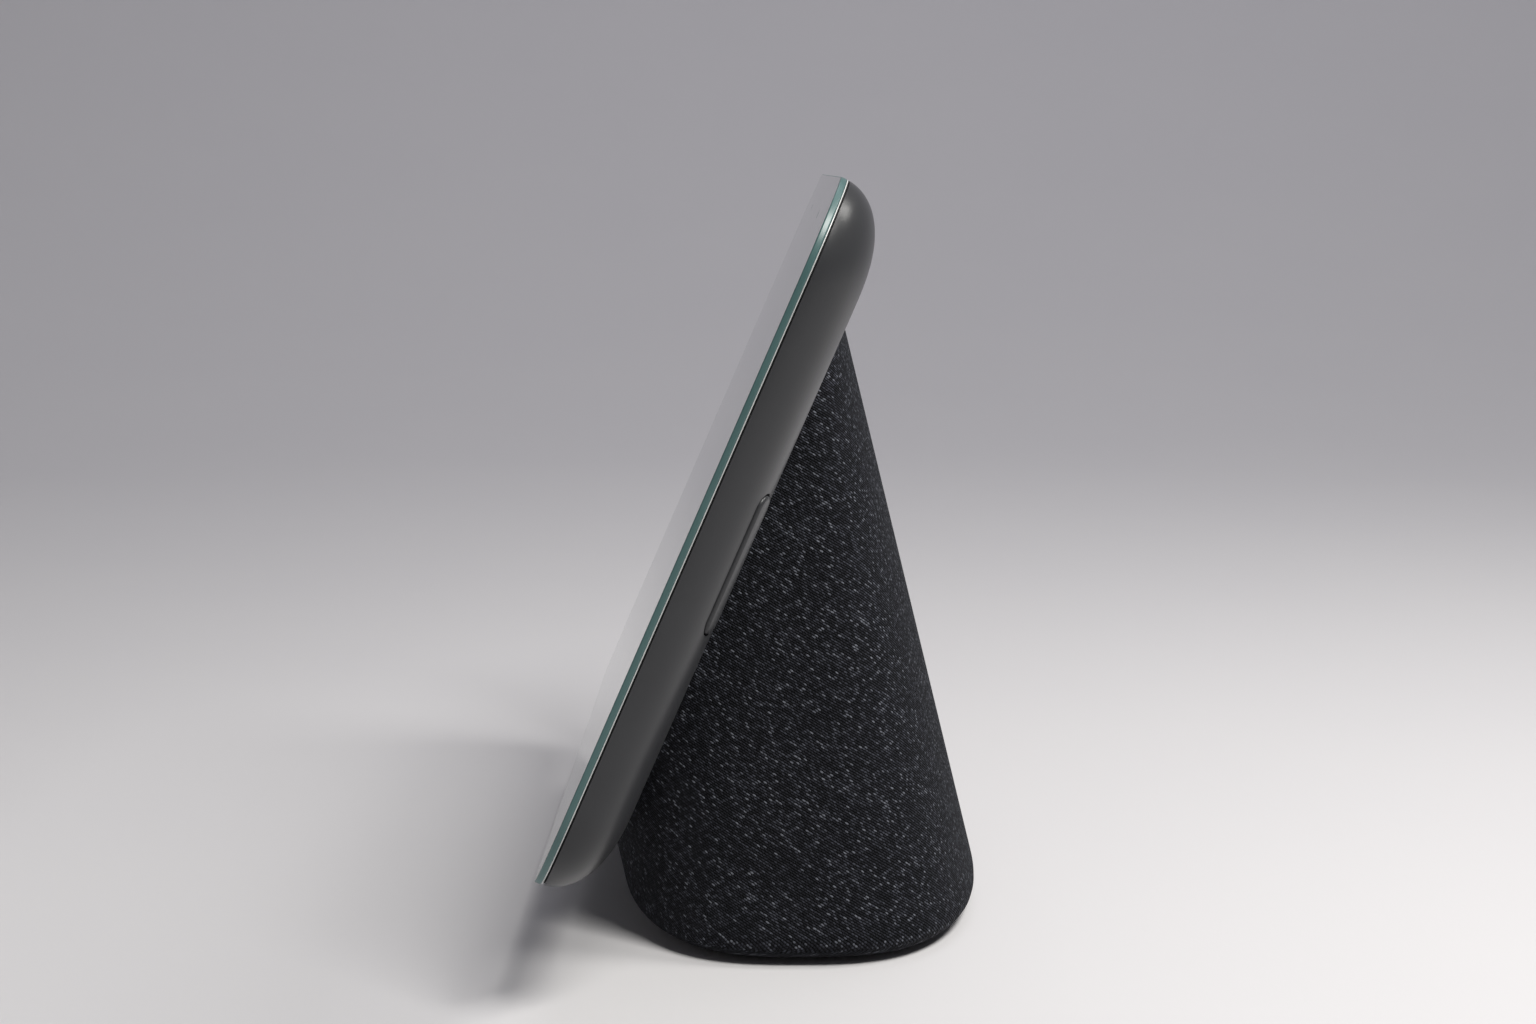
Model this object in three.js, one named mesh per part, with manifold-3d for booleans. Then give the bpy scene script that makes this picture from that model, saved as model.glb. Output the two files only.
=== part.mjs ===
import * as THREE from 'three';
import { mergeVertices } from 'three/addons/utils/BufferGeometryUtils.js';
import Module from 'manifold-3d';

// A table-top smart display: a slim tilted screen head on a fabric-covered speaker base.
// Units are millimetres. +X is to the right when facing the screen, +Y to the back and +Z up.
// The origin is on the table, under the middle of the whole object.
// The head is built in its own frame: x across, y up the slope, z out of the glass towards the viewer.
// In the head, "depth" is the distance behind the glass's front face, so z = -depth.

const wasm = await Module();
wasm.setup();

// ---- Head: driving dimensions ----
const HEAD_WIDTH = 177.4;
const HEAD_HEIGHT = 111.5;
const HEAD_CORNER = 15.5;
const HEAD_DEPTH = 9.2;
const HEAD_TILT = THREE.MathUtils.degToRad(23.55);
const GLASS_BOTTOM_Y = -34.6;
const GLASS_BOTTOM_Z = 18.2;
const GLASS_THICKNESS = 1.0;
const SHELL_FRONT_DEPTH = 1.45;
const SHELL_WALL = 1.8;
const EDGE_ROUNDING = 14.5;
const EDGE_POWER = 2.3;
const WINDOW_WIDTH = 154.2;
const WINDOW_HEIGHT = 86.0;
const BROW_Y = 49.25;
const MIC_X = 35;
const CABLE_HOLE_X = -27;
const CABLE_HOLE_Y = -7.75;
const CABLE_HOLE_RADIUS = 3.2;
const NECK_SCREWS = [[-22, -15.75], [22, -15.75], [-18, 14.25], [18, 14.25]];
const BOARD_SCREWS = [[-48, 37], [48, 37], [0, -2.5]];

// ---- Base: driving dimensions ----
const BASE_HALF_WIDTH = 59.5;
const BASE_HALF_DEPTH = 29.9;
const BASE_CENTRE_Y = 4.7;
const BASE_POWER = 2.8;
const BASE_SIDE_SLOPE = 0.3;
const BASE_REAR_SLOPE = 0.245;
const BASE_FRONT_LEAN = 0.25;
const BASE_BOTTOM_Z = 0.8;
const BASE_TOP_Z = 101;
const FILLET_HEIGHT = 3.5;
const FILLET_INSET = 4.5;
const FILLET_TOP_Z = BASE_BOTTOM_Z + FILLET_HEIGHT;
const SLEEVE_THICKNESS = 1.2;
const FRAME_INSET = 1.4;
const FRAME_WALL = 2.2;
const FRAME_BOTTOM_Z = 4.2;
const FRAME_FLOOR_TOP_Z = 6.4;
const BASE_FRONT_DEPTH = HEAD_DEPTH + 0.3;
const FRAME_FRONT_WALL = 2.7;
const FLOOR_OPENING = { halfWidth: 44, halfDepth: 16 };
const FOOT = { halfWidth: 49.2, halfDepth: 20.3, top: 1.55 };
const PLATE_TOP_Z = 4.0;
const PLATE_RECESS_TOP_Z = 1.6;
const PLATE_SCREWS = [[-47, BASE_CENTRE_Y], [47, BASE_CENTRE_Y], [0, BASE_CENTRE_Y + 18.2]];
const DRIVER_Z = 48;
const BAFFLE_INSET = 5.4;
const DRIVER_SCREW_RADIUS = 21.4;
const JACK_Z = 17;
const JACK_HOLE_RADIUS = 5.5;
const JACK_FABRIC_HOLE_RADIUS = 6.6;

// ---- Finishes ----
const HOUSING_GREY = { color: 0x4b4c4e, roughness: 0.45, metalness: 0 };
const GLASS_TEAL = { color: 0x8fb5ad, roughness: 0.05, metalness: 0, transparent: true, opacity: 0.4 };
const PRINT_WHITE = { color: 0xe4e5e3, roughness: 0.35, metalness: 0 };
const LCD_BLACK = { color: 0x0c0d10, roughness: 0.15, metalness: 0 };
const BLACK_RUBBER = { color: 0x141416, roughness: 0.8, metalness: 0 };
const BLACK_PLASTIC = { color: 0x1d1e20, roughness: 0.5, metalness: 0 };
const CHARCOAL_KNIT = { color: 0x2b2c30, roughness: 0.95, metalness: 0 };
const SILICONE_GREY = { color: 0x55565a, roughness: 0.85, metalness: 0 };
const BOARD_GREEN = { color: 0x1f4a33, roughness: 0.5, metalness: 0 };
const FLEX_AMBER = { color: 0xb07a35, roughness: 0.4, metalness: 0 };
const STEEL = { color: 0xa7a9ab, roughness: 0.35, metalness: 1 };
const ALUMINIUM = { color: 0xc3c5c7, roughness: 0.4, metalness: 1 };
const FERRITE = { color: 0x2e2e30, roughness: 0.7, metalness: 0.2 };
const PAPER_BLACK = { color: 0x232323, roughness: 0.9, metalness: 0 };
const COPPER = { color: 0xb87444, roughness: 0.35, metalness: 1 };
const SIGNAL_ORANGE = { color: 0xe8702a, roughness: 0.5, metalness: 0 };
const DIFFUSER_WHITE = { color: 0xd9dcdd, roughness: 0.6, metalness: 0 };

// ---- Solids: joining and cutting ----

function toSolid(geometry) {
  const bare = geometry.clone();
  bare.deleteAttribute('normal');
  bare.deleteAttribute('uv');
  const merged = mergeVertices(bare, 1e-4);
  const corners = merged.index.array;
  const kept = [];
  for (let i = 0; i < corners.length; i += 3) {
    const [a, b, c] = [corners[i], corners[i + 1], corners[i + 2]];
    if (a !== b && b !== c && c !== a) kept.push(a, b, c);
  }
  const vertProperties = Float32Array.from(merged.attributes.position.array);
  return new wasm.Manifold(new wasm.Mesh({ numProp: 3, vertProperties, triVerts: Uint32Array.from(kept) }));
}

function toGeometry(solid) {
  const mesh = solid.getMesh();
  const geometry = new THREE.BufferGeometry();
  geometry.setAttribute('position', new THREE.BufferAttribute(mesh.vertProperties, 3));
  geometry.setIndex(new THREE.BufferAttribute(mesh.triVerts, 1));
  geometry.computeVertexNormals();
  return geometry;
}

function cutFrom(body, cutters) {
  let solid = toSolid(body);
  for (const cutter of cutters) solid = solid.subtract(toSolid(cutter));
  return toGeometry(solid);
}

function joined(geometries) {
  let solid = toSolid(geometries[0]);
  for (const geometry of geometries.slice(1)) solid = solid.add(toSolid(geometry));
  return toGeometry(solid);
}

// ---- Basic shapes ----

function piece(name, geometry, finish) {
  const mesh = new THREE.Mesh(geometry, new THREE.MeshStandardMaterial(finish));
  mesh.name = name;
  return mesh;
}

function roundedRect(width, height, radius, centreX = 0, centreY = 0) {
  const shape = new THREE.Shape();
  const right = centreX + width / 2;
  const left = centreX - width / 2;
  const top = centreY + height / 2;
  const bottom = centreY - height / 2;
  shape.moveTo(right, bottom + radius);
  shape.lineTo(right, top - radius);
  shape.absarc(right - radius, top - radius, radius, 0, Math.PI / 2, false);
  shape.lineTo(left + radius, top);
  shape.absarc(left + radius, top - radius, radius, Math.PI / 2, Math.PI, false);
  shape.lineTo(left, bottom + radius);
  shape.absarc(left + radius, bottom + radius, radius, Math.PI, 1.5 * Math.PI, false);
  shape.lineTo(right - radius, bottom);
  shape.absarc(right - radius, bottom + radius, radius, 1.5 * Math.PI, 2 * Math.PI, false);
  shape.closePath();
  return shape;
}

function roundHole(x, y, radius) {
  const path = new THREE.Path();
  path.absarc(x, y, radius, 0, 2 * Math.PI, true);
  return path;
}

// A flat piece of the head, between two depths behind the glass's front face.
function slab(shape, nearDepth, farDepth, curveSegments = 5) {
  const depth = farDepth - nearDepth;
  const geometry = new THREE.ExtrudeGeometry(shape, { depth, bevelEnabled: false, curveSegments });
  geometry.translate(0, 0, -farDepth);
  return geometry;
}

function box(width, height, nearDepth, farDepth, x = 0, y = 0) {
  const geometry = new THREE.BoxGeometry(width, height, farDepth - nearDepth);
  geometry.translate(x, y, -(nearDepth + farDepth) / 2);
  return geometry;
}

// A round post along z, between two heights.
function post(radius, low, high, x = 0, y = 0, sides = 16) {
  const geometry = new THREE.CylinderGeometry(radius, radius, high - low, sides);
  geometry.rotateX(Math.PI / 2);
  geometry.translate(x, y, (low + high) / 2);
  return geometry;
}

// A turned piece about z; the profile lists [radius, height] counter-clockwise.
function turned(profile, sides = 20) {
  const points = profile.map(([radius, height]) => new THREE.Vector2(radius, height));
  const geometry = new THREE.LatheGeometry(points, sides);
  geometry.rotateX(Math.PI / 2);
  return geometry;
}

function ring(innerRadius, outerRadius, low, high) {
  const first = [innerRadius, low];
  return turned([first, [outerRadius, low], [outerRadius, high], [innerRadius, high], first]);
}

// A pan-head screw along z: the head sits under the shank.
function screw(shankRadius, headRadius, headLow, headHigh, shankHigh) {
  return turned([
    [0, headLow],
    [headRadius * 0.75, headLow],
    [headRadius, headLow + 0.4],
    [headRadius, headHigh],
    [shankRadius, headHigh],
    [shankRadius, shankHigh],
    [0, shankHigh],
  ], 8);
}

// A closed skin over rings of equal point count, stacked towards the ends of the list.
function loft(rings) {
  const count = rings[0].length;
  const points = rings.flat();
  const indices = [];
  for (let level = 0; level < rings.length - 1; level += 1) {
    for (let k = 0; k < count; k += 1) {
      const a = level * count + k;
      const b = level * count + ((k + 1) % count);
      indices.push(a, b, b + count, a, b + count, a + count);
    }
  }
  const lastRing = (rings.length - 1) * count;
  for (let k = 1; k < count - 1; k += 1) {
    indices.push(0, k + 1, k);
    indices.push(lastRing, lastRing + k, lastRing + k + 1);
  }
  const geometry = new THREE.BufferGeometry().setFromPoints(points);
  geometry.setIndex(indices);
  geometry.computeVertexNormals();
  return geometry;
}

function degreesAlong(start, end, steps) {
  return Array.from({ length: steps + 1 }, (_, i) => start + ((end - start) * i) / steps);
}

// ---- The head's rounded back ----

function roundedRing(halfWidth, halfHeight, radius, z) {
  const points = [];
  const corners = [[1, 1, 0], [-1, 1, 90], [-1, -1, 180], [1, -1, 270]];
  for (const [sideX, sideY, start] of corners) {
    for (const degrees of degreesAlong(start, start + 90, 6)) {
      const angle = THREE.MathUtils.degToRad(degrees);
      const x = sideX * (halfWidth - radius) + radius * Math.cos(angle);
      const y = sideY * (halfHeight - radius) + radius * Math.sin(angle);
      points.push(new THREE.Vector3(x, y, z));
    }
  }
  return points;
}

// The cushion shape of the housing, made smaller all round by "inset"; its edge is a
// quarter of a superellipse, from the flat back up to "frontDepth" behind the glass.
function cushion(inset, frontDepth) {
  const rounding = EDGE_ROUNDING - inset;
  const fullDepth = HEAD_DEPTH - inset;
  const frontSine = Math.pow(frontDepth / fullDepth, EDGE_POWER / 2);
  const frontDegrees = THREE.MathUtils.radToDeg(Math.asin(frontSine));
  const rings = degreesAlong(90, frontDegrees, 6).map((degrees) => {
    const angle = THREE.MathUtils.degToRad(degrees);
    const side = inset + rounding * (1 - Math.pow(Math.cos(angle), 2 / EDGE_POWER));
    const depth = fullDepth * Math.pow(Math.sin(angle), 2 / EDGE_POWER);
    return roundedRing(HEAD_WIDTH / 2 - side, HEAD_HEIGHT / 2 - side, HEAD_CORNER - side, -depth);
  });
  return loft(rings);
}

// A point on the housing's rounded edge, "side" inwards from the outline, and how far the
// surface there turns from facing straight back towards facing sideways.
function edgePoint(side) {
  const across = (EDGE_ROUNDING - side) / EDGE_ROUNDING;
  const down = Math.pow(1 - Math.pow(across, EDGE_POWER), 1 / EDGE_POWER);
  const sideways = Math.pow(across, EDGE_POWER - 1) / EDGE_ROUNDING;
  const backwards = Math.pow(down, EDGE_POWER - 1) / HEAD_DEPTH;
  return { depth: HEAD_DEPTH * down, turn: Math.atan2(sideways, backwards) };
}

// ---- The base's tapered oval column ----

function ovalRing(halfWidth, halfDepth, z, frontDepth = halfDepth, count = 44) {
  const points = [];
  for (let k = 0; k < count; k += 1) {
    const angle = (2 * Math.PI * k) / count;
    const x = Math.sign(Math.cos(angle)) * Math.pow(Math.abs(Math.cos(angle)), 2 / BASE_POWER);
    const y = Math.sign(Math.sin(angle)) * Math.pow(Math.abs(Math.sin(angle)), 2 / BASE_POWER);
    const depth = y < 0 ? frontDepth : halfDepth;
    points.push(new THREE.Vector3(halfWidth * x, BASE_CENTRE_Y + depth * y, z));
  }
  return points;
}

function ovalPlate(halfWidth, halfDepth, low, high) {
  return loft([ovalRing(halfWidth, halfDepth, low), ovalRing(halfWidth, halfDepth, high)]);
}

// The column's outer surface made smaller all round by "inset". It leans in at the sides and
// the rear, and forwards at the front, under the screen.
function columnRing(inset, z) {
  const rise = z - FILLET_TOP_Z;
  const below = Math.max(0, -rise) / FILLET_HEIGHT;
  const fillet = FILLET_INSET * (1 - Math.sqrt(Math.max(0, 1 - below * below)));
  const halfWidth = BASE_HALF_WIDTH - BASE_SIDE_SLOPE * rise - fillet - inset;
  const halfDepth = BASE_HALF_DEPTH - BASE_REAR_SLOPE * rise - fillet - inset;
  const frontDepth = BASE_HALF_DEPTH + BASE_FRONT_LEAN * rise - fillet - inset;
  return ovalRing(halfWidth, halfDepth, z, frontDepth);
}

function column(inset, low, high) {
  const filletSteps = [0, 0.08, 0.35, 1];
  const heights = filletSteps.map((step) => BASE_BOTTOM_Z + step * FILLET_HEIGHT);
  const between = heights.filter((z) => z > low + 0.05 && z < high - 0.05);
  return loft([low, ...between, high].map((z) => columnRing(inset, z)));
}

// ---- The two frames that pieces are placed in ----

function headFrame() {
  const frame = new THREE.Group();
  const middleY = GLASS_BOTTOM_Y + (HEAD_HEIGHT / 2) * Math.sin(HEAD_TILT);
  const middleZ = GLASS_BOTTOM_Z + (HEAD_HEIGHT / 2) * Math.cos(HEAD_TILT);
  frame.position.set(0, middleY, middleZ);
  frame.rotation.x = Math.PI / 2 - HEAD_TILT;
  frame.updateMatrixWorld(true);
  return frame;
}

// A frame on the base's rear surface at height z, its own z pointing out of the fabric.
function rearFrame(z, inset) {
  const slope = Math.atan(BASE_REAR_SLOPE);
  const frame = new THREE.Group();
  const surfaceY = BASE_CENTRE_Y + BASE_HALF_DEPTH - BASE_REAR_SLOPE * (z - FILLET_TOP_Z);
  frame.position.set(0, surfaceY - inset * Math.cos(slope), z - inset * Math.sin(slope));
  frame.rotation.x = slope - Math.PI / 2;
  frame.updateMatrixWorld(true);
  return frame;
}

const head = headFrame();
const driver = rearFrame(DRIVER_Z, BAFFLE_INSET);
const jack = rearFrame(JACK_Z, 0);

function inRowFrame(geometry, frame) {
  return geometry.clone().applyMatrix4(frame.matrixWorld);
}

// Everything behind a plane parallel to the glass.
function behindHead(depth) {
  return toSolid(inRowFrame(box(300, 300, depth, depth + 200), head));
}

function neckHoles(radius) {
  const holes = NECK_SCREWS.map(([x, y]) => post(radius, -20, 0, x, y, 10));
  holes.push(post(CABLE_HOLE_RADIUS, -20, 0, CABLE_HOLE_X, CABLE_HOLE_Y, 16));
  return holes;
}

// ---- Head: the screen stack ----

function coverGlass() {
  const bevel = 0.15;
  const outline = roundedRect(HEAD_WIDTH, HEAD_HEIGHT, HEAD_CORNER);
  outline.holes.push(roundHole(-MIC_X, BROW_Y, 0.75), roundHole(MIC_X, BROW_Y, 0.75));
  const geometry = new THREE.ExtrudeGeometry(outline, {
    depth: GLASS_THICKNESS - 2 * bevel,
    bevelThickness: bevel,
    bevelSize: bevel,
    bevelOffset: -bevel,
    bevelSegments: 1,
    curveSegments: 6,
  });
  geometry.translate(0, 0, bevel - GLASS_THICKNESS);
  return piece('cover_glass', geometry, GLASS_TEAL);
}

function bezelPrint() {
  const outline = roundedRect(HEAD_WIDTH - 0.2, HEAD_HEIGHT - 0.2, HEAD_CORNER - 0.1);
  outline.holes.push(roundedRect(WINDOW_WIDTH, WINDOW_HEIGHT, 1.2));
  outline.holes.push(roundHole(-MIC_X, BROW_Y, 0.8), roundHole(MIC_X, BROW_Y, 0.8));
  outline.holes.push(roundHole(0, BROW_Y, 1.6));
  return piece('bezel_print', slab(outline, 1.05, 1.17, 6), PRINT_WHITE);
}

function screenGasket() {
  const outline = roundedRect(HEAD_WIDTH - 0.8, HEAD_HEIGHT - 0.8, HEAD_CORNER - 0.4);
  outline.holes.push(roundedRect(HEAD_WIDTH - 5.2, HEAD_HEIGHT - 5.2, HEAD_CORNER - 2.6));
  return piece('screen_gasket', slab(outline, 1.22, 1.4, 6), BLACK_RUBBER);
}

function screenStack() {
  const lcd = slab(roundedRect(158, 91, 1), 1.35, 2.65, 3);
  const backlight = slab(roundedRect(158, 91, 1), 2.75, 4.25, 3);
  const midframe = roundedRect(155, 84, 4);
  for (const [x, y] of BOARD_SCREWS) midframe.holes.push(roundHole(x, y, 1.1));
  return [
    piece('lcd_cell', lcd, LCD_BLACK),
    piece('backlight_unit', backlight, DIFFUSER_WHITE),
    piece('display_midframe', slab(midframe, 4.35, 4.95, 3), STEEL),
  ];
}

// A ribbon that leaves the lower edge of the screen, folds round it and runs up to the board.
function displayFlex() {
  const ribbon = new THREE.Shape();
  ribbon.moveTo(-45.7, -2.07);
  ribbon.lineTo(-47.4, -2.07);
  ribbon.lineTo(-47.4, -5.08);
  ribbon.lineTo(-6.2, -5.08);
  ribbon.lineTo(-6.2, -5.25);
  ribbon.lineTo(-47.6, -5.25);
  ribbon.lineTo(-47.6, -1.9);
  ribbon.lineTo(-45.7, -1.9);
  ribbon.closePath();
  const width = 36;
  const geometry = new THREE.ExtrudeGeometry(ribbon, { depth: width, bevelEnabled: false });
  geometry.rotateY(Math.PI / 2);
  geometry.rotateX(Math.PI / 2);
  geometry.translate(22 - width / 2, 0, 0);
  return piece('display_flex', geometry, FLEX_AMBER);
}

// ---- Head: electronics ----

function boardScrew(index, [x, y]) {
  const mesh = piece(`board_screw_${index}`, screw(0.9, 1.9, -6.95, -6.15, -4.4), STEEL);
  mesh.position.set(x, y, 0);
  return mesh;
}

function mainElectronics() {
  const board = roundedRect(104, 46, 2, 0, 17.25);
  for (const [x, y] of BOARD_SCREWS) board.holes.push(roundHole(x, y, 1.1));
  const parts = [
    piece('main_board', slab(board, 5.25, 6.05, 3), BOARD_GREEN),
    piece('shield_can_left', box(34, 26, 6.15, 6.85, -21, 17), STEEL),
    piece('shield_can_right', box(26, 22, 6.15, 6.85, 20, 19), STEEL),
    piece('heat_spreader', slab(roundedRect(78, 30, 3, -3, 17.5), 6.95, 7.22, 3), ALUMINIUM),
  ];
  BOARD_SCREWS.forEach((place, i) => parts.push(boardScrew(i + 1, place)));
  return parts;
}

function browSensors() {
  const lens = post(1.4, -3.0, -1.4, 0, BROW_Y, 16);
  return [
    piece('sensor_board', slab(roundedRect(84, 5, 1, 0, BROW_Y), 3.1, 3.9, 3), BOARD_GREEN),
    piece('light_sensor', lens, LCD_BLACK),
    piece('mic_left', box(3.5, 2.7, 2.0, 3.0, -MIC_X, BROW_Y), STEEL),
    piece('mic_right', box(3.5, 2.7, 2.0, 3.0, MIC_X, BROW_Y), STEEL),
  ];
}

function antennas() {
  return [['left', -1], ['right', 1]].map(([side, sign]) => {
    const shape = roundedRect(26, 12, 1.5, sign * 62, -32);
    return piece(`antenna_${side}`, slab(shape, 6.95, 7.2, 3), FLEX_AMBER);
  });
}

// ---- Head: volume rocker, on the right-hand rear edge ----

const ROCKER_SIDE = 7.2;
const rockerEdge = edgePoint(ROCKER_SIDE);

function rockerFrame() {
  const frame = new THREE.Group();
  frame.position.set(HEAD_WIDTH / 2 - ROCKER_SIDE, 0, -rockerEdge.depth);
  frame.rotation.y = Math.PI - rockerEdge.turn;
  frame.updateMatrixWorld(true);
  return frame;
}

function pill(length, width, low, high) {
  const outline = roundedRect(width, length, width / 2 - 0.01);
  return slab(outline, -high, -low, 4);
}

function volumeControls() {
  const frame = rockerFrame();
  const plunger = 7.5;
  const bar = joined([
    pill(21.6, 4.0, -1.5, 0.45),
    post(0.8, -2.0, -1.4, 0, plunger, 10),
    post(0.8, -2.0, -1.4, 0, -plunger, 10),
  ]);
  frame.add(piece('volume_rocker', bar, HOUSING_GREY));
  frame.add(piece('volume_switch_up', box(3.4, 3.4, 2.45, 3.25, 0, plunger), STEEL));
  frame.add(piece('volume_switch_down', box(3.4, 3.4, 2.45, 3.25, 0, -plunger), STEEL));
  frame.add(piece('volume_board', box(3.8, 24, 3.35, 3.95), BOARD_GREEN));
  return frame;
}

// ---- Head: microphone switch, at the top centre of the back ----

const MUTE_SIDE = 10.0;
const MUTE_REST_X = -1.5;
const muteEdge = edgePoint(MUTE_SIDE);

function muteFrame() {
  const frame = new THREE.Group();
  frame.position.set(0, HEAD_HEIGHT / 2 - MUTE_SIDE, -muteEdge.depth);
  frame.rotation.x = muteEdge.turn - Math.PI;
  frame.updateMatrixWorld(true);
  return frame;
}

function wide(geometry) {
  return geometry.rotateZ(Math.PI / 2);
}

function muteControls() {
  const frame = muteFrame();
  const slider = joined([
    wide(pill(7.6, 2.8, -2.2, 0.3)),
    box(15.4, 4.6, 2.15, 2.75),
    box(2.4, 1.6, 2.7, 3.3),
  ]);
  const knob = piece('mute_slider', slider, HOUSING_GREY);
  knob.position.x = MUTE_REST_X;
  const mark = piece('mute_mark', box(3.2, 2.9, 1.95, 2.1), SIGNAL_ORANGE);
  mark.position.x = MUTE_REST_X - 5.7;
  frame.add(knob, mark);
  frame.add(piece('mute_switch', box(9, 3.8, 3.5, 4.5), STEEL));
  return frame;
}

// ---- Head: the rear shell ----

function rearShell() {
  const rockerSlot = inRowFrame(pill(22.3, 4.7, -4, 3), rockerFrame());
  const muteSlot = inRowFrame(wide(pill(11.2, 3.4, -4, 3)), muteFrame());
  const hollow = cushion(SHELL_WALL, SHELL_FRONT_DEPTH - 0.4);
  const geometry = cutFrom(cushion(0, SHELL_FRONT_DEPTH), [hollow, rockerSlot, muteSlot, ...neckHoles(1.45)]);
  return piece('rear_shell', geometry, HOUSING_GREY);
}

function neckScrews() {
  return NECK_SCREWS.map(([x, y], i) => {
    const mesh = piece(`neck_screw_${i + 1}`, screw(1.25, 2.4, -14.0, -12.5, -7.6), STEEL);
    mesh.position.set(x, y, 0);
    return mesh;
  });
}

// ---- Base: fabric, frame, bottom plate and foot ----

function jackHole(radius) {
  return inRowFrame(post(radius, -12, 3, 0, 0, 24), jack);
}

function fabricSleeve() {
  const outer = toSolid(column(0, BASE_BOTTOM_Z, BASE_TOP_Z));
  const inner = toSolid(column(SLEEVE_THICKNESS, BASE_BOTTOM_Z - 0.4, BASE_TOP_Z + 1));
  const hole = toSolid(jackHole(JACK_FABRIC_HOLE_RADIUS));
  const solid = outer.subtract(inner).intersect(behindHead(BASE_FRONT_DEPTH)).subtract(hole);
  return piece('fabric_sleeve', toGeometry(solid), CHARCOAL_KNIT);
}

// Sound slots: a disc of level slits over the driver.
function soundSlots() {
  const discRadius = 17.5;
  const slotHeight = 1.8;
  const pitch = 3.4;
  const slots = [];
  for (let row = -4; row <= 4; row += 1) {
    const y = row * pitch;
    const width = 2 * Math.sqrt(discRadius * discRadius - y * y);
    slots.push(inRowFrame(box(width, slotHeight, -9, -0.5, 0, y), driver));
  }
  return slots;
}

function baseFrame() {
  const wallInset = FRAME_INSET + FRAME_WALL;
  const outer = toSolid(column(FRAME_INSET, FRAME_BOTTOM_Z, BASE_TOP_Z));
  const cavity = toSolid(column(wallInset, FRAME_FLOOR_TOP_Z, BASE_TOP_Z + 1));
  let solid = outer.intersect(behindHead(BASE_FRONT_DEPTH));
  solid = solid.subtract(cavity.intersect(behindHead(BASE_FRONT_DEPTH + FRAME_FRONT_WALL)));
  const opening = ovalPlate(FLOOR_OPENING.halfWidth, FLOOR_OPENING.halfDepth, 2, 8);
  const screwHoles = PLATE_SCREWS.map(([x, y]) => post(1.1, 2, 8, x, y, 10));
  const frontHoles = neckHoles(1.5).map((hole) => inRowFrame(hole, head));
  for (const cutter of [opening, jackHole(JACK_HOLE_RADIUS), ...screwHoles, ...frontHoles, ...soundSlots()]) {
    solid = solid.subtract(toSolid(cutter));
  }
  return piece('base_frame', toGeometry(solid), BLACK_PLASTIC);
}

function basePlate() {
  const recess = ovalPlate(FOOT.halfWidth + 0.3, FOOT.halfDepth + 0.3, 0, PLATE_RECESS_TOP_Z);
  const holes = PLATE_SCREWS.map(([x, y]) => post(1.1, 1, 5, x, y, 10));
  const counterbores = PLATE_SCREWS.map(([x, y]) => post(2.2, 1, 2.9, x, y, 12));
  const body = column(FRAME_INSET, BASE_BOTTOM_Z, PLATE_TOP_Z);
  return piece('base_plate', cutFrom(body, [recess, ...holes, ...counterbores]), BLACK_PLASTIC);
}

function plateScrews() {
  return PLATE_SCREWS.map(([x, y], i) => {
    const mesh = piece(`plate_screw_${i + 1}`, screw(0.9, 2.0, 1.65, 2.8, 6.1), STEEL);
    mesh.position.set(x, y, 0);
    return mesh;
  });
}

function baseBottom() {
  return [
    basePlate(),
    ...plateScrews(),
    piece('foot_pad', ovalPlate(FOOT.halfWidth, FOOT.halfDepth, 0, FOOT.top), SILICONE_GREY),
    piece('base_weight', ovalPlate(43, 15, PLATE_TOP_Z + 0.1, 8.6), STEEL),
  ];
}

// ---- Base: full-range driver, facing the rear; z is out through the fabric ----

function baffle() {
  const outline = roundedRect(48, 48, 11);
  outline.holes.push(roundHole(0, 0, 18.8));
  for (const [x, y] of driverScrewPlaces()) outline.holes.push(roundHole(x, y, 1.0));
  return piece('speaker_baffle', slab(outline, 0, 2.4, 7), BLACK_PLASTIC);
}

function driverScrewPlaces() {
  return [45, 135, 225, 315].map((degrees) => {
    const angle = THREE.MathUtils.degToRad(degrees);
    return [DRIVER_SCREW_RADIUS * Math.cos(angle), DRIVER_SCREW_RADIUS * Math.sin(angle)];
  });
}

function driverBasket() {
  const profile = [
    [8.6, -14], [13.6, -14], [19.4, -3.8], [23, -3.8], [23, -2.8], [18.5, -2.8], [12.5, -13], [8.6, -13],
    [8.6, -14],
  ];
  const screwHoles = driverScrewPlaces().map(([x, y]) => post(1.0, -5, -2, x, y, 8));
  const windows = [0, 60, 120].map((degrees) => {
    const slot = new THREE.BoxGeometry(60, 5.5, 5);
    slot.translate(0, 0, -9);
    return slot.rotateZ(THREE.MathUtils.degToRad(degrees));
  });
  return piece('driver_basket', cutFrom(turned(profile), [...screwHoles, ...windows]), STEEL);
}

function driverMotor() {
  const yoke = [[0, -21], [11, -21], [11, -19.5], [5.8, -19.5], [5.8, -14.3], [0, -14.3]];
  return [
    piece('driver_top_plate', ring(7.5, 11, -15.6, -14.1), STEEL),
    piece('driver_magnet', ring(7.9, 11, -19.4, -15.7), FERRITE),
    piece('driver_yoke', turned(yoke), STEEL),
  ];
}

function driverMovingParts() {
  const cone = [[7.1, -9.3], [15.7, -4.1], [15.7, -3.5], [7.1, -8.7], [7.1, -9.3]];
  const cap = [[0, -7.2], [4, -7.6], [6.9, -8.5], [6.9, -8.1], [4, -7.1], [0, -6.7]];
  return [
    piece('driver_cone', turned(cone), PAPER_BLACK),
    piece('driver_dust_cap', turned(cap), PAPER_BLACK),
    piece('driver_voice_coil', ring(6.3, 6.9, -17.2, -8.7), COPPER),
  ];
}

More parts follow.
